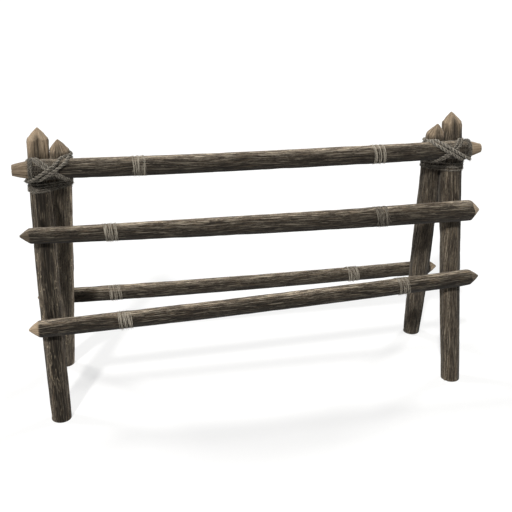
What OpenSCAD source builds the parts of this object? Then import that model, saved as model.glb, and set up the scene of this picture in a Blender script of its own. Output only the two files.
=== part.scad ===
// Livestock fence of round poles and rope, standing on its own four feet.
// Two pairs of posts cross like scissors. The top rail lies in front of both
// crossings, where rope lashings hold the three poles together. The other rails
// sit on flat seats hewn into the posts, each held by a hidden wooden peg.
// X runs along the rails, Y from front to back and Z up.
// The origin is on the ground, midway between the feet. Sizes are in millimetres.

/* [Stance] */
// Distance along X between the feet of the two front posts
front_feet_gap = 2200; // [1800:10:2800]
// Distance along X between the feet of the two back posts
back_feet_gap = 2164; // [1750:2:2750]
// Distance along Y from the front feet to the back feet
stance = 595; // [460:1:720]
// Height at which the left posts cross
crossing_left = 1321; // [1240:1:1420]
// Height at which the right posts cross
crossing_right = 1305; // [1240:1:1420]
// Outward shift of the left front post between its foot and the crossing
lean_left = 7; // [0:1:40]
// Outward shift of the right front post between its foot and the crossing
lean_right = 18; // [0:1:40]

/* [Posts] */
// Diameter of the front posts at the foot
front_foot_d = 105; // [90:1:130]
// Diameter of the front posts at the head
front_head_d = 108; // [90:1:130]
// What the front posts gain in diameter at mid-length
front_belly = 10; // [0:1:20]
// Diameter of the back posts at the foot
back_foot_d = 101; // [90:1:130]
// Diameter of the back posts at the head
back_head_d = 98; // [90:1:130]
// What the back posts gain in diameter at mid-length
back_belly = 18; // [0:1:24]
// Height of the left front post's tip above the crossing
front_tip_left = 178; // [140:1:220]
// Height of the right front post's tip above the crossing
front_tip_right = 174; // [140:1:220]
// Height of the left back post's tip above the crossing
back_tip_left = 127; // [110:1:160]
// Height of the right back post's tip above the crossing
back_tip_right = 125; // [110:1:160]
// Length of a post's pointed head
post_point = 54; // [30:1:70]
// Outward bow of the left front post between its foot and the crossing
bow_front_left = 5; // [-10:1:10]
// Outward bow of the right front post between its foot and the crossing
bow_front_right = -7; // [-10:1:10]
// Outward bow of the left back post between its foot and the crossing
bow_back_left = 3; // [-10:1:10]
// Outward bow of the right back post between its foot and the crossing
bow_back_right = 5; // [-10:1:10]
// How far the heads of the front posts bend outward above the crossing
front_head_bend = -7; // [-10:1:10]
// How far the heads of the back posts bend outward above the crossing
back_head_bend = 15; // [0:1:18]

/* [Rails] */
// Diameter of the top rail at its left end
top_rail_d_left = 103; // [80:1:120]
// Diameter of the top rail at its right end
top_rail_d_right = 99; // [80:1:120]
// Diameter of the middle rail at its left end
middle_rail_d_left = 86; // [80:1:120]
// Diameter of the middle rail at its right end
middle_rail_d_right = 117; // [80:1:120]
// Diameter of the lower front rail
lower_rail_d = 93; // [80:1:120]
// Diameter of the back rail
back_rail_d = 89; // [75:1:120]
// Height of the middle rail's seat on the left front post
middle_seat_left = 976; // [880:1:1060]
// Height of the middle rail's seat on the right front post
middle_seat_right = 957; // [880:1:1060]
// Height of the lower front rail's seat on the left front post
lower_seat_left = 507; // [400:1:700]
// Height of the lower front rail's seat on the right front post
lower_seat_right = 587; // [400:1:700]
// Height of the back rail's seats on the back posts
back_seat_height = 423; // [300:1:700]
// How far the top rail's tips stand out past the front posts
top_overhang = 127; // [100:1:180]
// How far the middle rail's left tip stands out past its post
middle_overhang_left = 117; // [100:1:180]
// How far the middle rail's right tip stands out past its post
middle_overhang_right = 120; // [100:1:180]
// How far the lower front rail's left tip stands out past its post
lower_overhang_left = 114; // [100:1:180]
// How far the lower front rail's right tip stands out past its post
lower_overhang_right = 127; // [100:1:180]
// How far the back rail's tips stand out past the back posts
back_overhang = 147; // [100:1:200]
// Length of the pointed ends of the lower rails
rail_point = 46; // [30:1:70]
// Length of the top rail's blunt, tapered ends
top_rail_point = 85; // [60:1:95]
// Diameter of the small flat left at the ends of the top rail
top_rail_end_d = 44; // [20:1:60]
// Sag of the rails at mid-length
rail_sag = 10; // [0:1:20]

/* [Joinery] */
// Depth of the flat hewn into each pole where two poles meet
seat_depth = 6; // [3:0.5:10]
// Room left beyond the pole at each end of a hewn flat
seat_margin = 6; // [3:0.5:12]
// Diameter of the hidden pegs
peg_d = 18; // [12:1:24]
// Length of the hidden pegs, half of it in each pole
peg_length = 70; // [40:2:74]
// Gap left between pieces that touch
fit_gap = 0.3; // [0.2:0.05:0.5]

/* [Rope] */
// Diameter of the rope of the lashings' main turns
rope_d = 16; // [12:1:20]
// Diameter of the thinner rope of the cross turns and the collars
thin_rope_d = 12; // [8:1:14]
// Slope across the rail of the lashing's main turns, which fall towards the end of the fence
main_slope = 31; // [28:1:36]
// Slope across the rail of the lashing's cross turns, which lie under the main ones
cross_slope = 37; // [32:1:42]
// Turns of the lashing in the main direction
main_turns = 2; // [1:1:2]
// Turns of the lashing in the cross direction
cross_turns = 2; // [1:1:2]
// Turns of the collar round the two posts under the top rail
collar_turns = 4; // [1:1:4]
// Height left free between the top rail and the collar
collar_gap = 24; // [10:1:40]
// Width of the bast strips wound round the rails
strip_width = 13; // [8:1:16]
// Thickness of the bast strips
strip_thick = 4; // [2:0.5:6]
// Turns of bast in each winding
winding_turns = 3; // [2:1:4]
// Distance from one turn of a winding to the next
winding_pitch = 24; // [18:1:30]

/* [Hidden] */

LEFT = -1;
RIGHT = 1;
FRONT = -1;
BACK = 1;

TOP_RAIL = 0;
MIDDLE_RAIL = 1;
LOWER_RAIL = 2;
BACK_RAIL = 3;

// A pole is [start, end, start radius, end radius, what the radius gains at mid-length, bow,
// share of its length where the bow ends, bend beyond it, length of the start's point,
// length of the end's point, blunt radius, seed]
START = 0;
END = 1;
START_R = 2;
END_R = 3;
BELLY = 4;
BOW = 5;
BOW_END = 6;
BEND = 7;
START_POINT = 8;
END_POINT = 9;
BLUNT_R = 10;
SEED = 11;

// Sides of a hewn pole, and rings along it between its shoulders
pole_sides = 12;
pole_rings = 10;
// Share of the radius that the axe takes off the roundest section of a pole
hewing = 0.012;
// Radius at the very tip of a sharpened pole
sharp_r = 5;
// Sides of a rope, points along one turn of it, and the longest piece without another point
rope_sides = 6;
rope_steps = 24;
longest_piece = 30;
// A lashing's band is [slope across the rail, share of it where the band lies high on the posts,
// share where it lies low, distances between its turns on the rail and on the posts in rope
// diameters, turns, rope diameter, whether it rides over the other band]
SLOPE = 0;
HIGH = 1;
LOW = 2;
RAIL_SPREAD = 3;
POST_SPREAD = 4;
TURNS = 5;
ROPE = 6;
ON_TOP = 7;
main_band = [main_slope, 0.5, 0.95, 1.75, 1.9, main_turns, rope_d, true];
cross_band = [-cross_slope, 0.15, 0.6, 2.3, 1.9, cross_turns, thin_rope_d, false];
// How far a band lifts, in thin ropes, where it rides over other turns: in front of the rail and
// over the collar, and behind the posts
lift_in_front = 1.25;
lift_behind = 1.8;
// Sine of the angle round the joint past which a band lies on the rail and no more on the posts
rail_from = 0.36;
// Sine of the angle from which a band lifts over the other, and the rise of it until it has
lift_from = 0.75;
lift_ramp = 0.16;
// Distances along X from the middle of the fence to the windings on the rails
winding_left = [-615, -778, -738, -769];
winding_right = [652, 658, 781, 665];

bark_brown = [0.36, 0.31, 0.26];
rail_brown = [0.33, 0.29, 0.25];
peg_tan = [0.62, 0.51, 0.38];
rope_grey = [0.62, 0.59, 0.52];

function mix(a, b, share) = a + (b - a) * share;
function unit(v) = v / norm(v);
function clamp(value) = min(1, max(0, value));

// ---- Poles ----

function direction(pole) = unit(pole[END] - pole[START]);
function across(pole) = unit(cross([0, 1, 0], direction(pole)));
function upward(pole) = cross(direction(pole), across(pole));
function pole_length(pole) = norm(pole[END] - pole[START]);
function hump(share) = 4 * share * (1 - share);
function axis_at(pole, share) =
    let (bowed = clamp(share / pole[BOW_END]),
         bent = pole[BOW_END] < 1 ? clamp((share - pole[BOW_END]) / (1 - pole[BOW_END])) : 0)
    mix(pole[START], pole[END], share) + pole[BOW] * hump(bowed) + pole[BEND] * pow(bent, 1.5);
function direction_at(pole, share) = unit(axis_at(pole, share + 0.01) - axis_at(pole, share - 0.01));
function radius_at(pole, share) =
    mix(pole[START_R], pole[END_R], share) + pole[BELLY] * hump(share);
function share_at_height(pole, z) = (z - pole[START].z) / (pole[END].z - pole[START].z);
function share_at_x(pole, x) = (x - pole[START].x) / (pole[END].x - pole[START].x);

// Share of the full radius that is left at an angle round a hewn pole
function hewn(pole, share, angle) =
    1 - hewing * (1 + sin(2 * angle + 290 * share + pole[SEED]))
      - hewing / 2 * (1 + sin(3 * angle - 430 * share + 2 * pole[SEED]));

function pole_ring(pole, share, radius) = [
    for (side = [0 : pole_sides - 1])
        let (angle = 360 * side / pole_sides)
        axis_at(pole, share) + radius * hewn(pole, share, angle)
            * (across(pole) * cos(angle) + upward(pole) * sin(angle))
];

// Closed skin over a list of rings of points
module skin(rings) {
    sides = len(rings[0]);
    last = len(rings) - 1;
    walls = [
        for (ring = [0 : last - 1], side = [0 : sides - 1])
            let (here = ring * sides + side,
                 beside = ring * sides + (side + 1) % sides)
            each [[here, here + sides, beside + sides], [here, beside + sides, beside]]
    ];
    start_cap = [for (side = [0 : sides - 1]) side];
    end_cap = [for (side = [sides - 1 : -1 : 0]) last * sides + side];
    polyhedron([for (ring = rings) each ring], concat(walls, [start_cap, end_cap]), convexity = 6);
}

// A hewn pole; an end whose point length is negative runs on past its end as a stub
module pole_solid(pole) {
    first = pole[START_POINT] / pole_length(pole);
    last = 1 - pole[END_POINT] / pole_length(pole);
    body = [
        for (ring = [0 : pole_rings])
            let (share = mix(first, last, ring / pole_rings))
            pole_ring(pole, share, radius_at(pole, share))
    ];
    start_tip = first > 0 ? [pole_ring(pole, 0, pole[BLUNT_R])] : [];
    skin(concat(start_tip, body, [pole_ring(pole, 1, pole[BLUNT_R])]));
}

// ---- Posts ----

function crossing(side) = side == LEFT ? crossing_left : crossing_right;
function lean_out(side) = side == LEFT ? lean_left : lean_right;
function foot_d(row) = row == FRONT ? front_foot_d : back_foot_d;
function head_d(row) = row == FRONT ? front_head_d : back_head_d;
function belly(row) = row == FRONT ? front_belly : back_belly;
function head_bend(row) = row == FRONT ? front_head_bend : back_head_bend;
function post_bow(side, row) =
    row == FRONT
        ? (side == LEFT ? bow_front_left : bow_front_right)
        : (side == LEFT ? bow_back_left : bow_back_right);
function feet_gap(row) = row == FRONT ? front_feet_gap : back_feet_gap;
function tip_above(side, row) =
    row == FRONT
        ? (side == LEFT ? front_tip_left : front_tip_right)
        : (side == LEFT ? back_tip_left : back_tip_right);
function tip_height(side, row) = crossing(side) + tip_above(side, row);
function crossing_r(side, row) =
    let (share = crossing(side) / tip_height(side, row))
    (mix(foot_d(row), head_d(row), share) + belly(row) * hump(share)) / 2;

function foot(side, row) = [side * feet_gap(row) / 2, row * stance / 2, 0];
function front_crossing(side) =
    [side * (front_feet_gap / 2 + lean_out(side)), 0, crossing(side)];

// Room that keeps the posts of a pair apart where they bow and thicken below the crossing
function closing_room(side, touching) =
    let (closing = max(0, 4 * (post_bow(side, BACK) - post_bow(side, FRONT))
                           + 2 * (belly(FRONT) + belly(BACK))))
    closing * closing * touching / (2 * stance * stance) + (closing > 0 ? fit_gap : 0);

// The posts of a pair touch side by side where they cross. Their axes lie askew, so their
// distance along X is worked out from the direction square to both.
function crossing_point(side, row) =
    let (round = crossing_r(side, FRONT) + crossing_r(side, BACK) + fit_gap,
         touching = round + closing_room(side, round),
         beside = front_crossing(side) - [side * touching, 0, 0],
         square = unit(cross(front_crossing(side) - foot(side, FRONT), beside - foot(side, BACK))))
    front_crossing(side) - (row == FRONT ? 0 : side * touching / abs(square.x)) * [1, 0, 0];
function crossing_x(side, row) = crossing_point(side, row).x;

function post(side, row) =
    let (rise = tip_height(side, row) / crossing(side))
    [foot(side, row), mix(foot(side, row), crossing_point(side, row), rise),
     foot_d(row) / 2, head_d(row) / 2, belly(row) / 2,
     [side * post_bow(side, row), 0, 0], 1 / rise, [side * head_bend(row), 0, 0],
     -foot_d(row) / 2, post_point, sharp_r, 70 * side + 35 * row];

// Lean of a post from upright, turned about X
function lean_angle(side, row) = atan2(row * stance / 2, crossing(side));

// ---- Seats where a rail meets a post ----

// A seat is [middle of the rail, rail radius, post radius, lean, half turn that faces the rail]
RAIL_MIDDLE = 0;
RAIL_R = 1;
POST_R = 2;
LEAN = 3;
TURN = 4;

function rail_row(rail) = rail == BACK_RAIL ? BACK : FRONT;
function rail_d(rail, side) =
    rail == TOP_RAIL ? (side == LEFT ? top_rail_d_left : top_rail_d_right)
    : rail == LOWER_RAIL ? lower_rail_d
    : rail == BACK_RAIL ? back_rail_d
    : side == LEFT ? middle_rail_d_left : middle_rail_d_right;
function seat_height(rail, side) =
    rail == BACK_RAIL ? back_seat_height
    : rail == LOWER_RAIL ? (side == LEFT ? lower_seat_left : lower_seat_right)
    : side == LEFT ? middle_seat_left : middle_seat_right;

// Distance between the axes of a rail and a post whose flats meet
function axes_gap(rail_r, post_r) = rail_r + post_r - 2 * seat_depth + fit_gap;

function low_seat(rail, side) =
    let (row = rail_row(rail),
         pole = post(side, row),
         share = share_at_height(pole, seat_height(rail, side)),
         rail_r = rail_d(rail, side) / 2,
         post_r = radius_at(pole, share),
         lean = lean_angle(side, row),
         outward = [0, row * cos(lean), row * sin(lean)])
    [axis_at(pole, share) + outward * axes_gap(rail_r, post_r),
     rail_r, post_r, lean, row == BACK ? 0 : 180];

// The top rail touches both posts of a pair, level with their crossing
function top_middle(side) =
    let (gap = axes_gap(rail_d(TOP_RAIL, side) / 2, crossing_r(side, FRONT)))
    [crossing_x(side, FRONT), -gap / cos(lean_angle(side, FRONT)), crossing(side)];

function top_seat(side, row) =
    let (pole = rail(TOP_RAIL),
         middle = axis_at(pole, share_at_x(pole, crossing_x(side, row))))
    [middle, rail_d(TOP_RAIL, side) / 2, crossing_r(side, row), lean_angle(side, row), 180];

// Puts its children at a seat, with Y pointing from the post to the rail
module at_seat(seat) {
    translate(seat[RAIL_MIDDLE])
        rotate([seat[LEAN], 0, 0])
            rotate([0, 0, seat[TURN]])
                children();
}

function flat_y(seat) = seat_depth - seat[RAIL_R];

// What is hewn off the post
module post_flat(seat) {
    width = 3 * seat[POST_R];
    height = 2 * (seat[RAIL_R] + seat_margin);
    at_seat(seat)
        translate([-width / 2, flat_y(seat) - fit_gap, -height / 2])
            cube([width, 2 * seat[RAIL_R], height]);
}

// What is hewn off the rail
module rail_flat(seat) {
    width = 2 * (seat[POST_R] + seat_margin);
    height = 3 * seat[RAIL_R];
    at_seat(seat)
        translate([-width / 2, flat_y(seat) - seat[RAIL_R], -height / 2])
            cube([width, seat[RAIL_R], height]);
}

module peg_shape(seat, diameter, length) {
    at_seat(seat)
        translate([0, flat_y(seat), 0])
            rotate([90, 0, 0])
                cylinder(h = length, d = diameter, center = true, $fn = 24);
}

module peg_bore(seat) {
    peg_shape(seat, peg_d + 2 * fit_gap, peg_length + 2 * fit_gap);
}

module peg(seat) {
    color(peg_tan) peg_shape(seat, peg_d, peg_length);
}

module post_piece(side, row) {
    rails = row == BACK ? [BACK_RAIL] : [MIDDLE_RAIL, LOWER_RAIL];
    ground = 4 * foot_d(row);
    color(bark_brown)
        difference() {
            pole_solid(post(side, row));
            translate([side * feet_gap(row) / 2 - ground / 2, row * stance / 2 - ground / 2, -ground])
                cube(ground);
            post_flat(top_seat(side, row));
            for (rail = rails) {
                post_flat(low_seat(rail, side));
                peg_bore(low_seat(rail, side));
            }
        }
}

// ---- Rails ----

function rail_start_overhang(rail) =
    rail == TOP_RAIL ? top_overhang
    : rail == MIDDLE_RAIL ? middle_overhang_left
    : rail == LOWER_RAIL ? lower_overhang_left
    : back_overhang;
function rail_end_overhang(rail) =
    rail == MIDDLE_RAIL ? middle_overhang_right
    : rail == LOWER_RAIL ? lower_overhang_right
    : rail_start_overhang(rail);

function rail(rail) =
    let (left = rail == TOP_RAIL ? top_middle(LEFT) : low_seat(rail, LEFT)[RAIL_MIDDLE],
         right = rail == TOP_RAIL ? top_middle(RIGHT) : low_seat(rail, RIGHT)[RAIL_MIDDLE],
         along = unit(right - left),
         point = rail == TOP_RAIL ? top_rail_point : rail_point)
    [left - along * rail_start_overhang(rail), right + along * rail_end_overhang(rail),
     rail_d(rail, LEFT) / 2, rail_d(rail, RIGHT) / 2, 0, [0, 0, -rail_sag], 1, [0, 0, 0],
     point, point, rail == TOP_RAIL ? top_rail_end_d / 2 : sharp_r, 50 + 80 * rail];

function rail_seats(rail) =
    rail == TOP_RAIL
        ? [for (side = [LEFT, RIGHT], row = [FRONT, BACK]) top_seat(side, row)]
        : [for (side = [LEFT, RIGHT]) low_seat(rail, side)];

module rail_piece(rail) {
    color(rail_brown)
        difference() {
            pole_solid(rail(rail));
            for (seat = rail_seats(rail)) {
                rail_flat(seat);
                if (rail != TOP_RAIL) peg_bore(seat);
            }
        }
}

// ---- Rope ----

// Outlines of a round rope and of a flat strip, as [away from the pole, along it]
function round_section(diameter) = [
    for (side = [0 : rope_sides - 1])
        let (angle = 360 * side / rope_sides)
        diameter / 2 * [cos(angle), sin(angle)]
];
function flat_section(thick, width) =
    [[thick, width], [-thick, width], [-thick, -width], [thick, -width]] / 2;

// Rings of a rope along a path; guide is a direction that the path never runs along
function rope_rings(path, guide, section) = [
    for (step = [0 : len(path) - 1])
        let (along = unit(path[min(step + 1, len(path) - 1)] - path[max(step - 1, 0)]),
             out = unit(cross(along, guide)),
             over = cross(along, out))
        [for (corner = section) path[step] + out * corner.x + over * corner.y]
];

// Path of a strip wound round a pole, with its middle at a distance x along the fence
function winding_path(pole, x) =
    let (steps = winding_turns * pole_sides,
         middle = share_at_x(pole, x),
         width = winding_turns * winding_pitch / pole_length(pole))
    [for (step = [0 : steps])
        let (share = middle + width * (step / steps - 0.5),
             angle = 360 * step / pole_sides,
             radius = radius_at(pole, share) + strip_thick / 2 + fit_gap)
        axis_at(pole, share) + radius * (across(pole) * cos(angle) + upward(pole) * sin(angle))];

module winding(rail, x) {
    path = winding_path(rail(rail), x);
    color(rope_grey)
        skin(rope_rings(path, direction(rail(rail)), flat_section(strip_thick, strip_width)));
}

// A bar is [point on its axis, direction, radius, height it reaches up to]; a rope's plane is
// [origin, first axis, second axis, normal]
AXIS_POINT = 0;
ALONG = 1;
BAR_R = 2;
REACHES = 3;
endless = 1e6;

// Outermost point of a bar's section in the plane, towards an angle, as [distance, point]
function outermost(bar, lift, plane, angle) =
    let (n = [cos(angle), sin(angle)],
         d = [bar[ALONG] * plane[1], bar[ALONG] * plane[2]],
         tilt = bar[ALONG] * plane[3],
         centre = bar[AXIS_POINT]
             + bar[ALONG] * ((plane[0] - bar[AXIS_POINT]) * plane[3]) / tilt,
         q = [[1 - d.y * d.y, d.x * d.y], [d.x * d.y, 1 - d.x * d.x]],
         reach = (bar[BAR_R] + lift) * (q * n) / sqrt(n * (q * n)) / abs(tilt),
         point = centre + plane[1] * reach.x + plane[2] * reach.y)
    [(point - plane[0]) * (plane[1] * n.x + plane[2] * n.y), point];

function sloped_plane(origin, slope) =
    [origin, [cos(slope), 0, sin(slope)], [0, 1, 0], [-sin(slope), 0, cos(slope)]];
function shifted(plane, shift) = [plane[0] + plane[3] * shift, plane[1], plane[2], plane[3]];

// Point of a rope drawn tight round bars in a plane, towards an angle, lifted off them
function tight_point(bars, lift, plane, angle) =
    let (points = [for (bar = bars) outermost(bar, lift, plane, angle)],
         furthest = max([for (point = points) point[0]]))
    [for (point = points) if (point[0] == furthest) point[1]][0];

// A point moved out of the bars
function clear_of(point, bars, bar = 0) =
    bar == len(bars)
        ? point
        : let (beside = point - bars[bar][AXIS_POINT],
               out = beside - bars[bar][ALONG] * (beside * bars[bar][ALONG]),
               missing = point.z > bars[bar][REACHES] ? 0 : max(0, bars[bar][BAR_R] - norm(out)))
          clear_of(point + unit(out) * missing, bars, bar + 1);

// A path with more points where it bridges from bar to bar, all of them outside the bars
function filled_in(path, bars) = [
    for (piece = [0 : len(path) - 2])
        let (parts = ceil(norm(path[piece + 1] - path[piece]) / longest_piece))
        for (part = [0 : parts - 1])
            clear_of(mix(path[piece], path[piece + 1], part / parts), bars),
    clear_of(path[len(path) - 1], bars),
];

// Distance from one turn of rope to the next, and from a pole to the middle of the rope
function rope_pitch(diameter) = diameter + fit_gap;
function rope_reach(diameter) = diameter / 2 + 2 * fit_gap;

// Angle of a step along a rope, which starts behind the posts
function turned(step) = 90 + 360 * (step + 0.5) / rope_steps;

function pair_middle(side) = (crossing_x(side, FRONT) + crossing_x(side, BACK)) / 2;

// The posts at a height, as thick as they are at the rope's low side
function post_bars(side, diameter, height, low_side) = [
    for (row = [FRONT, BACK])
        let (pole = post(side, row), share = share_at_height(pole, height))
        [axis_at(pole, share), direction_at(pole, share),
         radius_at(pole, share_at_height(pole, height - low_side)) + rope_reach(diameter), endless]
];
function lashed_posts(side, diameter) =
    post_bars(side, diameter, crossing(side), rail_d(TOP_RAIL, side) / 2 + diameter);
function top_rail_bar(side, diameter) =
    let (pole = rail(TOP_RAIL), share = share_at_x(pole, pair_middle(side)))
    [axis_at(pole, share), direction_at(pole, share),
     max(pole[START_R], pole[END_R]) + rope_reach(diameter), endless];

// The posts with the collar round them, which a lashing rides over
function collar_top(side) = crossing(side) - rail_d(TOP_RAIL, side) / 2 - collar_gap;
function collar_bars(side, diameter) = [
    for (bar = lashed_posts(side, diameter))
        [bar[AXIS_POINT], bar[ALONG], bar[BAR_R] + rope_pitch(thin_rope_d) * lift_in_front,
         collar_top(side) + diameter]
];

// Path of one band of a lashing. It goes sloping over the rail and, with other slopes, round the
// posts. The main band rides over the other in front of the rail and behind the posts.
function band_path(side, band) =
    let (origin = [pair_middle(side), 0, crossing(side)])
    [for (step = [0 : band[TURNS] * rope_steps])
        let (angle = turned(step),
             in_front = -sin(angle) > rail_from,
             high = -side * band[SLOPE] * cos(angle) > 0,
             share = in_front ? 1 : band[high ? HIGH : LOW],
             spread = band[ROPE] * band[in_front ? RAIL_SPREAD : POST_SPREAD],
             shift = spread * (step / rope_steps - band[TURNS] / 2),
             lift = clamp((abs(sin(angle)) - lift_from) / lift_ramp)
                 * (in_front ? lift_in_front : lift_behind))
        tight_point(in_front ? [top_rail_bar(side, band[ROPE])] : lashed_posts(side, band[ROPE]),
                    band[ON_TOP] ? rope_pitch(thin_rope_d) * lift : 0,
                    shifted(sloped_plane(origin, -side * band[SLOPE] * share), shift), angle)];

module lashing_band(side, band) {
    bars = concat([top_rail_bar(side, band[ROPE])], lashed_posts(side, band[ROPE]),
                  collar_bars(side, band[ROPE]));
    guide = sloped_plane([0, 0, 0], -side * band[SLOPE])[3];
    skin(rope_rings(filled_in(band_path(side, band), bars), guide, round_section(band[ROPE])));
}

module lashing(side) {
    color(rope_grey) {
        lashing_band(side, main_band);
        lashing_band(side, cross_band);
    }
}

// Level turns round the two posts, close under the top rail
module collar(side) {
    pitch = rope_pitch(thin_rope_d);
    low_side = pitch * (collar_turns + 1) / 2;
    height = collar_top(side) - low_side;
    posts = post_bars(side, thin_rope_d, height, low_side);
    plane = sloped_plane([pair_middle(side), 0, height], 0);
    path = [
        for (step = [0 : collar_turns * rope_steps])
            tight_point(posts, 0, shifted(plane, pitch * (step / rope_steps - collar_turns / 2)),
                        turned(step))
    ];
    color(rope_grey) skin(rope_rings(path, [0, 0, 1], round_section(thin_rope_d)));
}

// ---- Nodes ----

module post_front_left() post_piece(LEFT, FRONT);
module post_back_left() post_piece(LEFT, BACK);
module post_front_right() post_piece(RIGHT, FRONT);
module post_back_right() post_piece(RIGHT, BACK);

post_front_left();
post_back_left();
post_front_right();
post_back_right();
rail_piece(TOP_RAIL);  // rail_top
rail_piece(MIDDLE_RAIL);  // rail_middle
rail_piece(LOWER_RAIL);  // rail_lower_front
rail_piece(BACK_RAIL);  // rail_back
peg(low_seat(MIDDLE_RAIL, LEFT));  // peg_middle_left
peg(low_seat(MIDDLE_RAIL, RIGHT));  // peg_middle_right
peg(low_seat(LOWER_RAIL, LEFT));  // peg_lower_left
peg(low_seat(LOWER_RAIL, RIGHT));  // peg_lower_right
peg(low_seat(BACK_RAIL, LEFT));  // peg_back_left
peg(low_seat(BACK_RAIL, RIGHT));  // peg_back_right
lashing(LEFT);  // lashing_left
lashing(RIGHT);  // lashing_right
collar(LEFT);  // collar_left
collar(RIGHT);  // collar_right
winding(TOP_RAIL, winding_left[TOP_RAIL]);  // winding_top_left
winding(TOP_RAIL, winding_right[TOP_RAIL]);  // winding_top_right
winding(MIDDLE_RAIL, winding_left[MIDDLE_RAIL]);  // winding_middle_left
winding(MIDDLE_RAIL, winding_right[MIDDLE_RAIL]);  // winding_middle_right
winding(LOWER_RAIL, winding_left[LOWER_RAIL]);  // winding_lower_left
winding(LOWER_RAIL, winding_right[LOWER_RAIL]);  // winding_lower_right
winding(BACK_RAIL, winding_left[BACK_RAIL]);  // winding_back_left
winding(BACK_RAIL, winding_right[BACK_RAIL]);  // winding_back_right
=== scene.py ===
"""Looks of a livestock rail fence: weathered, debarked poles with hewn points, lashed with rope.

Every pole is laid over its CAD node: rays find the node's surface, and the skin is then carved with
ridges, furrows, drying cracks and axe cuts. Ropes are drawn tight round the same poles and laid up
from two twisted strands. All sizes are in metres, in the CAD frame: X along the rails, Y from
front to back, Z up.
"""
import math

import bmesh
import bpy
import numpy as np
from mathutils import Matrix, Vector
from mathutils.bvhtree import BVHTree


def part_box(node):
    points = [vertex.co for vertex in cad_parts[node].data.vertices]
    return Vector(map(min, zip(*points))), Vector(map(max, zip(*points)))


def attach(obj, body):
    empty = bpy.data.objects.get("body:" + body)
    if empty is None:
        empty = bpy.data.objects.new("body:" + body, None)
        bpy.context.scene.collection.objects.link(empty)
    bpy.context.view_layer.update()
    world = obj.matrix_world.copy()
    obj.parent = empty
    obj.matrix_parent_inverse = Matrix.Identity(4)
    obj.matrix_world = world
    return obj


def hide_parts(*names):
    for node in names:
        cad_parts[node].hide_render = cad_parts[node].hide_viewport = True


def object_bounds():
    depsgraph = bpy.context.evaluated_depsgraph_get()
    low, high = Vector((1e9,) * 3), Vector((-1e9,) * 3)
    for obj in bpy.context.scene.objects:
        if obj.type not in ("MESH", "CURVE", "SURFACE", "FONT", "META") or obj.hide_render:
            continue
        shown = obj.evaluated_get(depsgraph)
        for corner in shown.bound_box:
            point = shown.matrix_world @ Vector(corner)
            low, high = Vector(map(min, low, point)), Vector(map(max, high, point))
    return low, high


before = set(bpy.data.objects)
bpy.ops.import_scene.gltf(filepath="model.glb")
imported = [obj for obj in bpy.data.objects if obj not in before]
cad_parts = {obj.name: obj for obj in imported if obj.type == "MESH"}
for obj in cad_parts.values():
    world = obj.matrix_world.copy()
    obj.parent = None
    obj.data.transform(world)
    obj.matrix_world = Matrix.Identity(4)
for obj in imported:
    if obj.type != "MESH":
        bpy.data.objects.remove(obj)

cad_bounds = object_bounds()
TURN = 2 * math.pi
scene = bpy.context.scene


def placed(name, data):
    """A new object in the scene."""
    made = bpy.data.objects.new(name, data)
    scene.collection.objects.link(made)
    return made


# ---- Camera, at the viewing angle of the picture ----

CAMERA_PLACE = Vector((-0.83959, -4.40065, 2.59661))
CAMERA_AIM = Vector((0.0145, 0.0, 0.7239))
CAMERA_LENS = 61.4537
CAMERA_SENSOR = 36


def add_camera():
    data = bpy.data.cameras.new("camera")
    data.lens = CAMERA_LENS
    data.sensor_width = CAMERA_SENSOR
    camera = placed("camera", data)
    camera.location = CAMERA_PLACE
    camera.rotation_euler = (CAMERA_AIM - CAMERA_PLACE).to_track_quat("-Z", "Y").to_euler()
    scene.camera = camera


add_camera()

# ---- Small helpers ----


def smoothstep(low, high, value):
    share = np.clip((value - low) / (high - low), 0, 1)
    return share * share * (3 - 2 * share)


def unit(v):
    return v / np.linalg.norm(v, axis=-1, keepdims=True)


def mm(value):
    return value / 1000


def turn_gap(turns, middle):
    """How far two turns lie apart round a pole, the shorter way."""
    gap = np.abs(turns - middle) % 1
    return np.minimum(gap, 1 - gap)


def ring_faces(index):
    """Faces between rings of points, each of which closes on itself."""
    beside = np.roll(index, -1, axis=1)
    return np.stack([index[:-1], beside[:-1], beside[1:], index[1:]], -1).reshape(-1, 4).tolist()


class Skin:
    """Smooth noise over the skin of a pole: along it in metres, round it in turns."""

    MARGIN = 0.1

    def __init__(self, seed, low, high):
        self.rng = np.random.default_rng(seed)
        self.low = low - self.MARGIN
        self.length = high + self.MARGIN - self.low

    def noise(self, along, turn, cell, cells):
        """From -1 to 1, with features of one cell along and 1 / cells of a turn round."""
        grid = self.rng.uniform(-1, 1, (int(self.length / cell) + 3, cells))
        a = (along - self.low) / cell
        b = turn * cells
        i, j = np.floor(a).astype(int), np.floor(b).astype(int)
        fa, fb = smoothstep(0, 1, a - i), smoothstep(0, 1, b - j)
        i = np.clip(i, 0, grid.shape[0] - 2)
        here, beside = j % cells, (j + 1) % cells
        first = grid[i, here] * (1 - fb) + grid[i, beside] * fb
        second = grid[i + 1, here] * (1 - fb) + grid[i + 1, beside] * fb
        return first * (1 - fa) + second * fa

    def ridges(self, along, turn, cell, cells):
        """From 0 to 1, with sharp creases at 1."""
        return 1 - np.abs(self.noise(along, turn, cell, cells))


def make_object(name, points, faces, material, nodes):
    points = np.clip(points, cad_bounds[0], cad_bounds[1])
    mesh = bpy.data.meshes.new(name)
    mesh.from_pydata(points.tolist(), [], faces)
    mesh.materials.append(material)
    mesh.polygons.foreach_set("use_smooth", [True] * len(mesh.polygons))
    shell = bmesh.new()
    shell.from_mesh(mesh)
    bmesh.ops.recalc_face_normals(shell, faces=shell.faces)
    shell.to_mesh(mesh)
    shell.free()
    mesh.update()
    piece = placed(name, mesh)
    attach(piece, "root")
    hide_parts(*nodes)
    return piece


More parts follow.
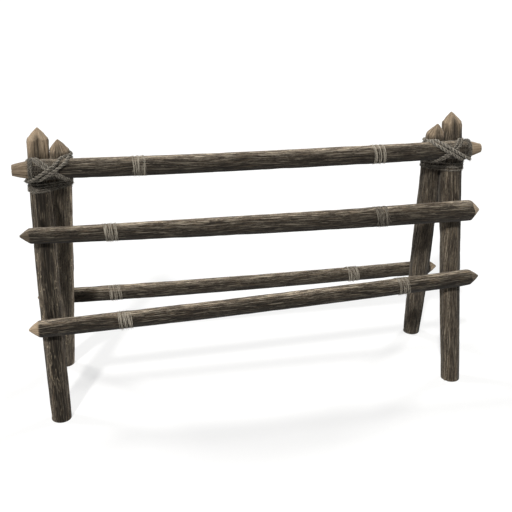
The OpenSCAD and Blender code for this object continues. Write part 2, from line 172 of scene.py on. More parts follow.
def store(piece, name, values, domain="POINT"):
    """Keeps a number or a vector for each point or face, for the materials to read."""
    values = np.asarray(values, np.float32)
    kind = "FLOAT_VECTOR" if values.ndim == 2 else "FLOAT"
    attribute = piece.data.attributes.new(name, kind, domain)
    attribute.data.foreach_set("vector" if values.ndim == 2 else "value", values.ravel())


class Shader:
    """Builds the nodes of a material or of the world. Most methods return an output socket."""

    def __init__(self, owner):
        self.owner = owner
        owner.use_nodes = True
        self.tree = owner.node_tree
        self.tree.nodes.clear()

    def node(self, kind, values=(), **settings):
        made = self.tree.nodes.new("ShaderNode" + kind)
        for key, value in settings.items():
            setattr(made, key, value)
        for key, value in dict(values).items():
            if isinstance(value, bpy.types.NodeSocket):
                self.tree.links.new(value, made.inputs[key])
            else:
                made.inputs[key].default_value = value
        return made

    def attribute(self, name, vector=False):
        made = self.node("Attribute", attribute_name=name)
        return made.outputs["Vector" if vector else "Fac"]

    def math(self, operation, a, b=0.0):
        return self.node("Math", {0: a, 1: b}, operation=operation).outputs[0]

    def total(self, *parts):
        """Sum of sockets, each times its share."""
        made = None
        for socket, share in parts:
            part = self.math("MULTIPLY", socket, share)
            made = part if made is None else self.math("ADD", made, part)
        return made

    def stretch(self, vector, scale):
        return self.node("VectorMath", {0: vector, 1: scale}, operation="MULTIPLY").outputs[0]

    def gain(self, colour, factor):
        return self.node("VectorMath", {0: colour, "Scale": factor}, operation="SCALE").outputs[0]

    def noise(self, vector, detail=3, roughness=0.6, distortion=0.0):
        values = {"Vector": vector, "Scale": 1.0, "Detail": detail, "Roughness": roughness,
                  "Distortion": distortion}
        return self.node("TexNoise", values).outputs["Fac"]

    def band(self, value, low, high, start=0.0, end=1.0):
        values = {0: value, 1: low, 2: high, 3: start, 4: end}
        return self.node("MapRange", values, interpolation_type="SMOOTHSTEP").outputs[0]

    def ramp(self, value, places, colours):
        made = self.node("ValToRGB", {0: value})
        elements = made.color_ramp.elements
        while len(elements) < len(colours):
            elements.new(0.5)
        for element, place, colour in zip(elements, places, colours):
            element.position = place
            element.color = (*colour, 1)
        return made.outputs[0]

    def mix(self, share, a, b, blend="MIX"):
        return self.node("Mix", {0: share, 6: a, 7: b}, data_type="RGBA", blend_type=blend).outputs[2]

    def bump(self, height, strength, distance):
        values = {"Strength": strength, "Distance": distance, "Height": height}
        return self.node("Bump", values).outputs[0]

    def show(self, socket, output="OutputMaterial"):
        """Ends in an output node. Returns the material or the world."""
        self.tree.links.new(socket, self.node(output).inputs[0])
        return self.owner

    def finish(self, colour, roughness, normal, specular, sheen=0.0):
        values = {"Base Color": colour, "Roughness": roughness, "Normal": normal,
                  "Specular IOR Level": specular, "Sheen Weight": sheen}
        return self.show(self.node("BsdfPrincipled", values).outputs[0])


# ---- Wood ----

# Colours of the old fibres: dark, brown, grey and pale
OLD = ((0.017, 0.0135, 0.010), (0.043, 0.0345, 0.0262), (0.085, 0.0715, 0.0555), (0.20, 0.173, 0.136))
# Painted shade inside the drying cracks
CRACK_SHADE = (0.008, 0.0065, 0.005, 1)
TAN_STREAK = (0.15, 0.112, 0.074, 1)
PALE_STREAK = (0.225, 0.197, 0.155, 1)
# Thin pale threads of inner bark that wander down the poles
SINEW = (0.36, 0.305, 0.225, 1)
SINEW_HALF = 0.018
# Darkest, middle and lightest colour of wood cut fresh by the axe, which has greyed a little
FRESH = ((0.16, 0.115, 0.076), (0.43, 0.323, 0.216), (0.64, 0.505, 0.362))
# Features per metre of each noise of the wood: along the grain, and both ways across it
STREAKS, FIBRES, BLOTCHES = (7.5, 330, 330), (75, 400, 400), (3.0, 18, 18)
TANS, PALES, WANDERING = (11, 220, 220), (9, 270, 270), (4.5, 42, 42)
# How much streaks, fibres, blotches and furrows make the skin lighter; the furrows make it darker, which is
# painted shade in them
LIGHTER = (0.84, 0.62, 0.05, -0.06)
# How strongly the bands lighten the skin as painted highlight, and darken it as painted shade
PAINTED_LIGHT_GAIN = 2.8
# Year rings: radians per metre, and how far they waver
RING_RATE, RING_WAVER = 1900, 7.6


def weathered(s, skin, streaks, fibres, blotches, middle, spacing):
    """Old skin: fibres light and dark, tan and pale streaks, thin pale threads, and bands of painted
    highlight and painted shade.
    """
    parts = (streaks, fibres, blotches, s.attribute("furrow"))
    light = s.total(*zip(parts, LIGHTER), (s.attribute("tone"), 1.0))
    colour = s.ramp(light, [middle + step * spacing for step in (-1.5, -0.5, 0.5, 1.5)], OLD)
    tans = s.noise(s.stretch(skin, TANS), roughness=0.5, distortion=0.2)
    colour = s.mix(s.band(tans, 0.57, 0.68, 0.0, 0.55), colour, TAN_STREAK)
    pales = s.noise(s.stretch(skin, PALES), detail=2, roughness=0.5, distortion=0.5)
    colour = s.mix(s.band(pales, 0.58, 0.67), colour, PALE_STREAK)
    wandering = s.noise(s.stretch(skin, WANDERING), roughness=0.55, distortion=0.4)
    line = s.band(s.math("ABSOLUTE", s.math("SUBTRACT", wandering, 0.5)), 0.0, SINEW_HALF, 1.0, 0.0)
    line = s.math("MULTIPLY", line, s.band(blotches, 0.40, 0.50))
    colour = s.mix(s.math("MULTIPLY", line, s.attribute("sinew")), colour, SINEW)
    # Bands of painted highlight and painted shade, broken up by the streaks and fibres
    painted_light = s.math("MULTIPLY", s.attribute("pale"), s.total((streaks, 1.4), (fibres, 0.6)))
    return s.gain(colour, s.math("ADD", s.math("MULTIPLY", painted_light, PAINTED_LIGHT_GAIN), 1.0))


def hewn(s, colour, skin, streaks, fibres, blotches):
    """Lays pale fresh wood over the old where the axe cut, and year rings over the sawn ends."""
    cut = s.attribute("cut")
    fresh = s.ramp(s.total((streaks, 0.7), (fibres, 0.3)), (0.38, 0.50, 0.61), FRESH)
    ragged = s.total((cut, 1.0), (s.math("SUBTRACT", streaks, 0.5), 0.9))
    colour = s.mix(s.band(ragged, 0.25, 0.80), colour, s.gain(fresh, s.band(cut, 0.35, 1.0, 0.36, 1.0)))
    radial = s.node("VectorMath", {0: s.stretch(skin, (0, 1, 1))}, operation="LENGTH").outputs["Value"]
    rings = s.math("SINE", s.total((radial, RING_RATE), (blotches, RING_WAVER)))
    grain = s.ramp(s.total((rings, 0.25), (fibres, 1.0)), (0.3, 0.75), FRESH[:2])
    return s.mix(s.math("MULTIPLY", s.attribute("cap"), 0.8), colour, grain)


def wood_material(name, tint, middle, spacing):
    """Weathered wood. Middle and spacing are where the colours of its fibres lie in the grain."""
    s = Shader(bpy.data.materials.new(name))
    skin = s.attribute("skin", vector=True)
    streaks = s.noise(s.stretch(skin, STREAKS), distortion=0.25)
    fibres = s.noise(s.stretch(skin, FIBRES), roughness=0.7)
    blotches = s.noise(s.stretch(skin, BLOTCHES), roughness=0.55)
    colour = weathered(s, skin, streaks, fibres, blotches, middle, spacing)
    colour = s.mix(1.0, colour, (*tint, 1), blend="MULTIPLY")
    colour = hewn(s, colour, skin, streaks, fibres, blotches)
    # Painted shade in the drying cracks
    colour = s.mix(s.attribute("crack"), colour, CRACK_SHADE)
    height = s.total((streaks, 0.6), (fibres, 0.4))
    return s.finish(colour, s.band(fibres, 0.3, 0.7, 0.75, 0.95), s.bump(height, 0.8, mm(2.8)),
                    specular=0.18, sheen=0.10)


class Pole:
    """A pole as its CAD node has it: its axis, the surface that rays find, and its full radius."""

    # How much thicker the full pole is than the middle of its many-sided CAD sections
    FULL = 1.032
    # Rays start this far from the axis
    FAR = 0.2
    # Sections that the axis is fitted to, and rays in each
    STATIONS, RAYS = 61, 36
    # A ray that ends this far inside a section's circle has met a hewn flat
    SHORT = mm(1.5)

    def __init__(self, name, axis):
        self.name = name
        self.axis = axis
        self.others = [i for i in range(3) if i != axis]
        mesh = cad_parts[name].data
        self.tree = BVHTree.FromPolygons([v.co[:] for v in mesh.vertices],
                                         [p.vertices[:] for p in mesh.polygons])
        low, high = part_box(name)
        self.low, self.high = low[axis], high[axis]
        self._find_axis(mesh)

    def _find_axis(self, mesh):
        """Fits a smooth line through the middles of the pole's sections, and a curve to their radii."""
        stations = np.linspace(self.low + mm(3), self.high - mm(3), self.STATIONS)
        corners = np.array([v.co[:] for v in mesh.vertices])
        ends = []
        for level in (self.low, self.high):
            near = corners[np.abs(corners[:, self.axis] - level) < mm(2)][:, self.others]
            ends.append((near.min(0) + near.max(0)) / 2)
        share = (stations - self.low) / (self.high - self.low)
        middles = ends[0] + (ends[1] - ends[0]) * share[:, None]
        turns = np.arange(self.RAYS) / self.RAYS
        for _ in range(3):
            for n, station in enumerate(stations):
                middles[n] += self._circle(turns, self.cast(station, middles[n], turns))
        keep = (share > 0.01) & (share < 0.985)
        degree = 6 if self.axis == 2 else 3
        self.lines = [np.polyfit(stations[keep], middles[keep][:, k], degree) for k in range(2)]
        body = (share > 0.05) & (share < 0.94)
        spans = [np.median(self.cast(x, self.middle(x), turns)) for x in stations[body]]
        self.radii = np.polyfit(stations[body], spans, 2)

    @classmethod
    def _circle(cls, turns, reach):
        """How far a section's middle lies from where its rays meet; hewn flats are left out."""
        points = np.stack([np.cos(TURN * turns), np.sin(TURN * turns)], 1) * reach[:, None]
        keep = reach > 0
        for _ in range(2):
            p = points[keep]
            terms = np.column_stack([2 * p, np.ones(len(p))])
            x, y, c = np.linalg.lstsq(terms, (p ** 2).sum(1), rcond=None)[0]
            off = np.hypot(points[:, 0] - x, points[:, 1] - y) - math.sqrt(c + x * x + y * y)
            keep = off > -cls.SHORT
        return np.array([x, y])

    def cast(self, station, middle, turns):
        """Distances from the middle to the surface, found from outside in the plane of a section."""
        reach = np.zeros(len(turns))
        for k, turn in enumerate(turns):
            way = [0.0, 0.0, 0.0]
            start = [0.0, 0.0, 0.0]
            start[self.axis] = station
            for i, m, d in zip(self.others, middle, (math.cos(TURN * turn), math.sin(TURN * turn))):
                start[i] = m + self.FAR * d
                way[i] = -d
            hit = self.tree.ray_cast(Vector(start), Vector(way), self.FAR)
            reach[k] = self.FAR - hit[3] if hit[0] is not None else 0.0
        return reach

    def ends(self):
        """Name and level of each end, and the way into the pole."""
        return ("start", self.low, 1), ("end", self.high, -1)

    def middle(self, station):
        return np.stack([np.polyval(line, station) for line in self.lines], -1)

    def radius(self, station):
        return np.polyval(self.radii, station) * self.FULL

    def point(self, station):
        """Point on the axis."""
        station = np.asarray(station, float)
        made = np.zeros(station.shape + (3,))
        made[..., self.axis] = station
        made[..., self.others] = self.middle(station)
        return made

    def around(self, station, reach, angle):
        """Points at some distances from the axis, at angles round it."""
        made = self.point(station)
        made[..., self.others[0]] += reach * np.cos(angle)
        made[..., self.others[1]] += reach * np.sin(angle)
        return made

    def direction(self, station):
        return unit(self.point(station + 0.01) - self.point(station - 0.01))


# Turns go from +X to +Y on a post, and from +Y to +Z on a rail.
# An end is (length of the point, how fresh the cut looks, how far the fresh look fades down the pole,
# facets, turn of the first facet).
POST_POINT, RAIL_POINT, TOP_POINT = 0.054, 0.046, 0.085
# A band of painted light is (turn of its middle, half width in turns, strength of its painted highlight,
# painted shade if below 0)
# Pale bands down the sides of the posts are painted rim highlights, and dark bands down their fronts are
# painted shade. The back left post lies in the front left post's shadow, and its right side gets a strong
# painted highlight.
POST_PAINTED_LIGHT = ((0.62, 0.05, 0.5), (0.92, 0.06, 0.45), (0.16, 0.06, 0.5), (0.38, 0.05, 0.4))
LEFT_POST_PAINTED_LIGHT = ((0.62, 0.05, 0.32), *POST_PAINTED_LIGHT[1:], (0.78, 0.12, -0.19))
SHADED_POST_PAINTED_LIGHT = (*POST_PAINTED_LIGHT, (0.94, 0.06, 0.7))
RIGHT_POST_PAINTED_LIGHT = ((0.62, 0.05, 0.2), (0.88, 0.045, -0.2), *POST_PAINTED_LIGHT[2:], (0.80, 0.06, 0.07))
# On a rail, the pale band along the top is painted top light, and the dark band under its front is painted
# shade
RAIL_PAINTED_LIGHT = ((0.265, 0.085, 1.0), (0.66, 0.20, -0.17))
# Strips of old skin that the axe left on a head: (turn of the middle, half width, how old they look)
AGED = ((0.735, 0.07, 0.35), (0.25, 0.07, 0.3))
# A swelling is (station of its middle, half length, turn of its middle, half width in turns, height)


def post(seed, fresh, fade, turn, **more):
    """Looks of a post, whose head is hewn from four sides."""
    return dict(axis=2, seed=seed, end=(POST_POINT, fresh, fade, 4, turn), aged=AGED, **more)


def rail(seed, length, start, end, **more):
    """Looks of a rail, whose ends are hewn from five sides."""
    start, end = [(length, fresh, fade, 5, turn) for fresh, fade, turn in (start, end)]
    return dict(axis=0, seed=seed, start=start, end=end, pale=RAIL_PAINTED_LIGHT, **more)


POLES = {
    "post_front_left": post(11, 0.88, 0.16, 0.885, pale=LEFT_POST_PAINTED_LIGHT, tone=-0.05, sinew=0.8),
    # The back left post's higher tone is painted light, lifting the shadow that the front left post casts
    # on it
    "post_back_left": post(12, 0.72, 0.06, 0.86, pale=SHADED_POST_PAINTED_LIGHT, tone=0.06, sinew=0.9),
    "post_front_right": post(13, 0.75, 0.09, 0.87, pale=RIGHT_POST_PAINTED_LIGHT, tone=0.01,
                             swells=((1.02, 0.14, 0.433, 0.15, mm(13)),)),
    "post_back_right": post(14, 0.72, 0.065, 0.84, pale=RIGHT_POST_PAINTED_LIGHT, tone=0.01,
                            swells=((1.02, 0.14, 0.933, 0.15, mm(14)),)),
    "rail_top": rail(21, TOP_POINT, (0.66, 0.006, 0.1), (0.76, 0.004, 0.2), tone=-0.03, trim=mm(6),
                     swells=((-1.232, 0.045, 0.25, 9.0, mm(6)),)),
    "rail_middle": rail(22, RAIL_POINT, (0.5, 0.01, 0.3), (1.0, 0.0, 0.4), tone=-0.035),
    "rail_lower_front": rail(23, RAIL_POINT, (0.95, 0.012, 0.5), (0.5, 0.006, 0.6), tone=-0.062),
    "rail_back": rail(24, RAIL_POINT, (0.9, 0.006, 0.7), (1.0, 0.006, 0.8), tone=-0.005),
}
USUAL_SINEW = 0.15
# How far the hewn facets round off into the pole, and how fresh the wood below them looks
FACET_BLEND, FRESH_BODY = mm(6), 0.9
# Least and most length of a facet, and share of the tip that it leaves, on short and on long points
SHORT_CUT, LONG_CUT = (1.05, 1.25, 0.9), (1.0, 1.06, 0.98)
EVEN_LINES = 112
CRACK_LINES, CRACK_EVERY, CRACK_HALF = 6, 8, mm(1.1)
USUAL_R = mm(50)
# Depth in millimetres, length, and distance to the next crack of the same line
CRACK_DEPTH, CRACK_LENGTH, CRACK_GAP = (2.5, 6.5), (0.12, 0.5), (0.1, 0.7)
# Lines that a crack takes up, with their shares of its depth and of its painted shade
CRACK_SHAPE = ((-1, 0.25, 0.35), (0, 1.0, 1.0), (1, 0.25, 0.35))
ROW_STEP, FINE_STEP = mm(15), mm(3)
TINY = mm(0.2)
# Half width, in turns, of what rounds the corners of the CAD sections
ROUNDING = 0.028
# A surface this far inside the full section is a hewn flat
FLAT_DEPTH = mm(2.2)
CAP_RINGS = (0.72, 0.42, 0.15)
SHARP_ANGLE = 55
# Length of the features of each relief of the skin, and how many go round the pole
BROAD, BUNDLES, THREADS, FINE, PALENESS = (0.45, 7), (0.26, 17), (0.13, 39), (0.06, 56), (0.3, 5)


def pole_rows(pole, looks):
    """Stations along a pole, closer together at its points, its foot and the ends of its flats."""
    fine = np.arange(pole.low, pole.high, mm(2))
    turns = np.arange(20) / 20
    least = np.array([pole.cast(x, pole.middle(x), turns).min() for x in fine])
    step = np.abs(np.gradient(least)) > mm(0.6)
    near = np.zeros(len(fine), bool)
    for shift in range(-4, 5):
        near |= np.roll(step, shift)
    for end, level, way in pole.ends():
        reach = 1.3 * looks[end][0] if end in looks else mm(10)
        near |= (fine - level) * way < reach
    density = np.where(near, 1 / FINE_STEP, 1 / ROW_STEP)
    total = np.concatenate([[0], np.cumsum((density[1:] + density[:-1]) / 2 * np.diff(fine))])
    rows = np.interp(np.linspace(0, total[-1], int(total[-1]) + 2), total, fine)
    rows[0], rows[-1] = pole.low, pole.high
    return rows


def pole_lines(rng):
    """Turns of the lengthwise lines of a pole, and which of them run down the middle of a crack."""
    picks = rng.choice(EVEN_LINES // CRACK_EVERY, CRACK_LINES, replace=False) * CRACK_EVERY
    centres = np.sort(picks + rng.integers(0, 5, CRACK_LINES)) / EVEN_LINES
    half = CRACK_HALF / (TURN * USUAL_R)
    even = np.arange(EVEN_LINES) / EVEN_LINES
    lines = np.sort(np.concatenate([even, centres - half, centres + half]) % 1)
    return lines, [int(np.argmin(np.abs(lines - c))) for c in centres]


def add_cracks(rng, pole, rows, middles, depth, crack):
    """Drying cracks: long, narrow and deep, following the grain, each with painted shade inside it."""
    span = pole.high - pole.low
    for line in middles:
        at = pole.low + rng.uniform(0.0, 0.2) * span
        while at < pole.high - 0.1:
            length = rng.uniform(*CRACK_LENGTH)
            deep = mm(rng.uniform(*CRACK_DEPTH))
            taper = np.sin(math.pi * np.clip((rows - at) / length, 0, 1)) ** 0.7
            for side, part, shade in CRACK_SHAPE:
                column = (line + side) % depth.shape[1]
                depth[:, column] = np.maximum(depth[:, column], deep * taper * part)
                crack[:, column] = np.maximum(crack[:, column], taper ** 0.5 * shade)
            at += length + rng.uniform(*CRACK_GAP)


def cad_reach(pole, rows, turns, lines):
    """The CAD surface, rounded between its corners but with its hewn flats kept."""
    inner = np.clip(rows, pole.low + TINY, pole.high - TINY)
    found = np.array([pole.cast(x, pole.middle(x), t) for x, t in zip(inner, turns)])
    nominal = np.percentile(found, 80, axis=1, keepdims=True)
    bores = found < 0.55 * nominal
    found = np.where(bores, np.median(found, axis=1, keepdims=True), found)
    flats = found < nominal - FLAT_DEPTH
    filled = np.where(flats, nominal, found)
    gap = turn_gap(lines[:, None], lines[None, :])
    weight = np.exp(-0.5 * (gap / ROUNDING) ** 2) * np.diff(np.append(lines, lines[0] + 1))[:, None]
    rounded = filled @ (weight / weight.sum(0)) * pole.FULL
    return np.where(flats, np.minimum(found, rounded), rounded), flats


def hew_end(pole, looks, end, level, way, rows, turns, reach, rng):
    """Hews flat facets into a point, inside the CAD surface. Returns the reach and the fresh share."""
    length, strength, fade, count, first = looks[end]
    least, most, tip_left = SHORT_CUT if length < TOP_POINT else LONG_CUT
    out = (rows - level) * way
    full = pole.radius(level + way * length)
    tip = reach[np.argmin(out)].max()
    soft = FACET_BLEND * smoothstep(length * 0.4, length, out)[:, None]
    for k in range(count):
        turn = first + (k + rng.uniform(-0.12, 0.12)) / count
        run = length * rng.uniform(least, most)
        flat = tip * tip_left + (full - tip) * np.clip(out / run, 0, 4)
        away = np.cos(TURN * (turns - turn))
        cut = np.where(away > 0.3, flat[:, None] / np.maximum(away, 0.3), 1.0)
        reach = 0.5 * (reach + cut - np.sqrt((reach - cut) ** 2 + soft ** 2))
    edge = smoothstep(mm(1.5), mm(7), pole.radius(rows)[:, None] - reach) * (out < length * 1.5)[:, None]
    shade = smoothstep(length + fade * 1.6 + mm(2), length * 0.9, out)[:, None]
    for middle, half, share in looks.get("aged", ()):
        old = share * np.exp(-(turn_gap(turns, middle) / half) ** 2)
        old = old * smoothstep(length * 0.25, length * 0.75, out)[:, None]
        shade, edge = shade * (1 - old), edge * (1 - old)
    return reach, strength * np.maximum(edge, shade * (FRESH_BODY if fade > 0 else 0))


def facet_cut(pole, looks, rows, turns, reach, rng):
    fresh = np.zeros_like(reach)
    for end, level, way in pole.ends():
        if end in looks:
            reach, cut = hew_end(pole, looks, end, level, way, rows, turns, reach, rng)
            fresh = np.maximum(fresh, cut)
    return reach, fresh


def swelling(looks, rows, turns):
    """What the pole gains where it swells round an old branch."""
    gain = np.zeros_like(turns)
    for level, half, turn, width, height in looks.get("swells", ()):
        lengthwise = ((rows - level) / half)[:, None] ** 2
        gain += height * np.exp(-lengthwise - (turn_gap(turns, turn) / width) ** 2)
    return gain


def painted_light_share(looks, base):
    """Painted light at each point from the bands: above 0 a painted highlight, below 0 painted shade."""
    share = np.zeros_like(base)
    for middle, half, strength in looks["pale"]:
        share = share + strength * np.exp(-(turn_gap(base, middle) / half) ** 2)
    return share


def carve(pole, rows, along, base, flats, fresh, middles, skin, rng):
    """Depth of the relief, and how much of a furrow and of a crack each point is."""
    broad = skin.noise(along, base, *BROAD)
    bundles = skin.ridges(along, base, *BUNDLES)
    threads = skin.ridges(along, base, *THREADS)
    fine = skin.noise(along, base, *FINE)
    furrow = smoothstep(0.62, 0.97, bundles) * 0.75 + smoothstep(0.7, 1.0, threads) * 0.45
    depth = mm(1.0) * broad + mm(2.2) * furrow + mm(0.4) * fine
    crack_depth, crack = np.zeros_like(depth), np.zeros_like(depth)
    add_cracks(rng, pole, rows, middles, crack_depth, crack)
    calm = 1 - 0.85 * smoothstep(0.3, 0.9, fresh)
    for _, level, way in pole.ends():
        calm = calm * smoothstep(0.0, mm(12), (rows - level) * way)[:, None]
    depth = np.where(flats, np.maximum(depth, 0) * 0.5, depth) + crack_depth
    return depth * calm, furrow * calm, crack * calm


def end_caps(pole, rows, both):
    """Rings over both ends of a pole, in points and their places on the skin, and their faces."""
    count = both.shape[1]
    made = len(rows) * count
    index = np.arange(made).reshape(len(rows), count)
    more, faces = [], []
    for row in (0, len(rows) - 1):
        centre = np.array([*pole.point(rows[row]), rows[row], 0, 0])
        last = index[row]
        for share in CAP_RINGS:
            more.append(centre + (both[row] - centre) * share)
            inner = np.arange(made, made + count)
            made += count
            faces += ring_faces(np.stack([last, inner]))
            last = inner
        more.append(centre[None, :])
        faces += np.stack([last, np.roll(last, -1), np.full(count, made)], -1).tolist()
        made += 1
    return more, faces


def pole_piece(pole, rows, points, flat_base, material):
    both = np.concatenate([points, flat_base], -1)
    faces = ring_faces(np.arange(both.shape[0] * both.shape[1]).reshape(both.shape[:2]))
    more, cap_faces = end_caps(pole, rows, both)
    both = np.concatenate([both.reshape(-1, 6)] + more)
    piece = make_object("wood_" + pole.name, both[:, :3], faces + cap_faces, material, [pole.name])
    piece.data.set_sharp_from_angle(angle=math.radians(SHARP_ANGLE))
    store(piece, "skin", both[:, 3:])
    store(piece, "cap", [0.0] * len(faces) + [1.0] * len(cap_faces), domain="FACE")
    return piece


def build_pole(name, looks, material):
    pole = Pole(name, looks["axis"])
    pole.high -= looks.get("trim", 0)
    rng = np.random.default_rng(looks["seed"])
    rows = pole_rows(pole, looks)
    lines, middles = pole_lines(rng)
    # The grain winds slowly round the pole, and wavers
    spiral = rng.uniform(-0.09, 0.09) / (pole.high - pole.low)
    waver = 0.012 * np.sin(TURN * (rows - pole.low) / rng.uniform(0.5, 0.9) + rng.uniform(0, TURN))
    turns = lines[None, :] + spiral * (rows - pole.low)[:, None] + waver[:, None]
    reach, flats = cad_reach(pole, rows, turns, lines)
    reach, fresh = facet_cut(pole, looks, rows, turns, reach, rng)

    skin = Skin(looks["seed"] + 100, pole.low, pole.high)
    along = np.broadcast_to(rows[:, None], turns.shape)
    base = np.broadcast_to(lines[None, :], turns.shape)
    depth, furrow, crack = carve(pole, rows, along, base, flats, fresh, middles, skin, rng)
    reach = np.maximum(reach - depth + swelling(looks, rows, turns) * ~flats, reach * 0.3)
    points = pole.around(along, reach, TURN * turns)
    radius = pole.radius(along)
    flat_base = np.stack([along, radius * np.cos(TURN * base), radius * np.sin(TURN * base)], -1)
    piece = pole_piece(pole, rows, points, flat_base, material)

    count = len(piece.data.vertices)
    # Painted highlight and painted shade from the bands, varied a little by noise
    pale = painted_light_share(looks, turns % 1) * (1 + 0.22 * skin.noise(along, base, *PALENESS))
    for key, values in (("furrow", furrow), ("cut", fresh), ("crack", crack), ("pale", pale)):
        store(piece, key, np.concatenate([values.ravel(), np.zeros(count - values.size)]))
    for key, value in (("tone", looks["tone"]), ("sinew", looks.get("sinew", USUAL_SINEW))):
        store(piece, key, np.full(count, value))
    return pole


post_wood = wood_material("post_wood", (1.0, 0.97, 0.93), 0.770, 0.108)
rail_wood = wood_material("rail_wood", (1.0, 0.985, 0.96), 0.770, 0.088)
poles = {}
for pole_name, pole_looks in POLES.items():
    of_post = pole_name.startswith("post")
    poles[pole_name] = build_pole(pole_name, pole_looks, post_wood if of_post else rail_wood)

# ---- Rope ----

MAIN_ROPE_D = mm(16)
THIN_ROPE_D = mm(12)
THIN_PITCH = THIN_ROPE_D + mm(0.3)
COLLAR_TURNS, COLLAR_GAP = 4, mm(24)
# Middle of the turns that lie round the top rail outside each pair of posts
END_WRAP = {"left": mm(-1143), "right": mm(1163)}
END_WRAP_TURNS = 3
END_WRAP_TONE, COLLAR_TONE = -1.2, -0.8
TOP_RAIL_D = {"left": mm(103), "right": mm(99)}
CROSSING = {"left": mm(1321), "right": mm(1305)}
SIDE = {"left": -1, "right": 1}
# Slope across the rail, its share where a band lies high and low on the posts, distances between
# its turns on the rail and on the posts in rope diameters, turns, diameter, whether it rides on top
MAIN_BAND = dict(slope=31, high=0.5, low=0.95, on_rail=1.35, on_posts=1.3, turns=2,
                 rope=MAIN_ROPE_D, on_top=True)
CROSS_BAND = dict(slope=-37, high=0.15, low=0.6, on_rail=1.15, on_posts=1.2, turns=2,
                  rope=THIN_ROPE_D, on_top=False)
# How far a band lifts, in thin ropes, where it rides over other turns
LIFT_IN_FRONT, LIFT_BEHIND = 0.7, 0.9
# Sine of the angle round the joint past which a band lies on the rail, and from which it lifts
RAIL_FROM = 0.36
LIFT_FROM, LIFT_RAMP = 0.75, 0.16
# How far the cross turns lie towards the middle of the fence
CROSS_INWARD = mm(12)
ROPE_STEPS = 24
# How much fuller than its CAD rope a rope is drawn, as its loose fibres fill it out
FULLNESS = 1.12
# From the skin of a pole to the middle of the rope pressed against it, in rope diameters
PRESSED = 0.2
# A rope: its strands, sides of each, its lay in diameters, and how thick a strand is in the rope
STRANDS, STRAND_SIDES, LAY, STRAND_R = 2, 8, 2.4, 0.50
# Rope of the collars and of the turns round the rail's ends, which have worn thin
WORN_D = mm(9)
# Loose fibres: points of each, and how many there are to a turn of rope and round a joint
FIBRE_POINTS = 5
BAND_FIBRES, COLLAR_FIBRES, WRAP_FIBRES = 420, 220, 40
RAIL_FUZZ, POST_FUZZ = 420, 160


def outermost(bar, lift, plane, angle):
    """Outermost point of a bar's section in a plane, towards an angle, and how far out it is."""
    place, along, radius, _ = bar
    origin, e1, e2, m = plane
    n = np.array([math.cos(angle), math.sin(angle)])
    dx, dy, tilt = along @ e1, along @ e2, along @ m
    centre = place + along * (((origin - place) @ m) / tilt)
    qn = np.array([[1 - dy * dy, dx * dy], [dx * dy, 1 - dx * dx]]) @ n
    reach = (radius + lift) * qn / math.sqrt(n @ qn) / abs(tilt)
    point = centre + reach[0] * e1 + reach[1] * e2
    return (point - origin) @ (e1 * n[0] + e2 * n[1]), point


def tight_point(bars, lift, plane, angle):
    return max((outermost(bar, lift, plane, angle) for bar in bars), key=lambda found: found[0])[1]


def sloped_plane(origin, slope, shift):
    e1 = np.array([math.cos(slope), 0, math.sin(slope)])
    m = np.array([-math.sin(slope), 0, math.cos(slope)])
    return origin + m * shift, e1, np.array([0.0, 1.0, 0.0]), m


def clear_of(path, bars):
    """Pushes a path's points out of the bars, each of which counts up to the height it reaches."""
    for place, along, radius, reaches in bars:
        beside = path - place
        out = beside - (beside @ along)[:, None] * along
        gap = np.linalg.norm(out, axis=1)
        missing = np.where(path[:, 2] > reaches, 0, np.maximum(radius - gap, 0))
        path = path + out / gap[:, None] * missing[:, None]
    return path


def lengths(path):
    """Distance along a path to each of its points."""
    return np.concatenate([[0], np.cumsum(np.linalg.norm(np.diff(path, axis=0), axis=1))])


def resample(path, step):
    along = lengths(path)
    places = np.linspace(0, along[-1], max(int(along[-1] / step), 4) + 1)
    return np.stack([np.interp(places, along, path[:, k]) for k in range(3)], -1)


def soften(path, reach):
    kernel = np.hanning(2 * reach + 3)[1:-1]
    kernel /= kernel.sum()
    padded = np.concatenate([np.repeat(path[:1], reach, 0), path, np.repeat(path[-1:], reach, 0)])
    return np.stack([np.convolve(padded[:, k], kernel, "valid") for k in range(3)], -1)


def drawn_tight(path, bars):
    """A smooth rope path from its corners, outside the bars."""
    for reach in (5, 3, 2):
        path = clear_of(soften(resample(path, mm(5)), reach), bars)
    return path


def frame_of(points, guide):
    """Two directions square to a path, at each of its points; guide is one it never runs along."""
    along = unit(np.gradient(points, axis=0))
    out = unit(np.cross(along, guide))
    return out, np.cross(along, out)


def tube(points, radius, guide, sides, made):
    """Closed tube round points. Returns its vertices, its faces and its angle at each vertex."""
    out, over = frame_of(points, guide)
    angle = TURN * np.arange(sides) / sides
    radius = np.broadcast_to(radius, (len(points),))
    shape = np.cos(angle)[None, :, None] * out[:, None] + np.sin(angle)[None, :, None] * over[:, None]
    rings = points[:, None] + radius[:, None, None] * shape
    index = made + np.arange(len(points) * sides).reshape(len(points), sides)
    faces = ring_faces(index) + [index[0, ::-1].tolist(), index[-1].tolist()]
    return rings.reshape(-1, 3), faces, np.tile(angle, len(points))


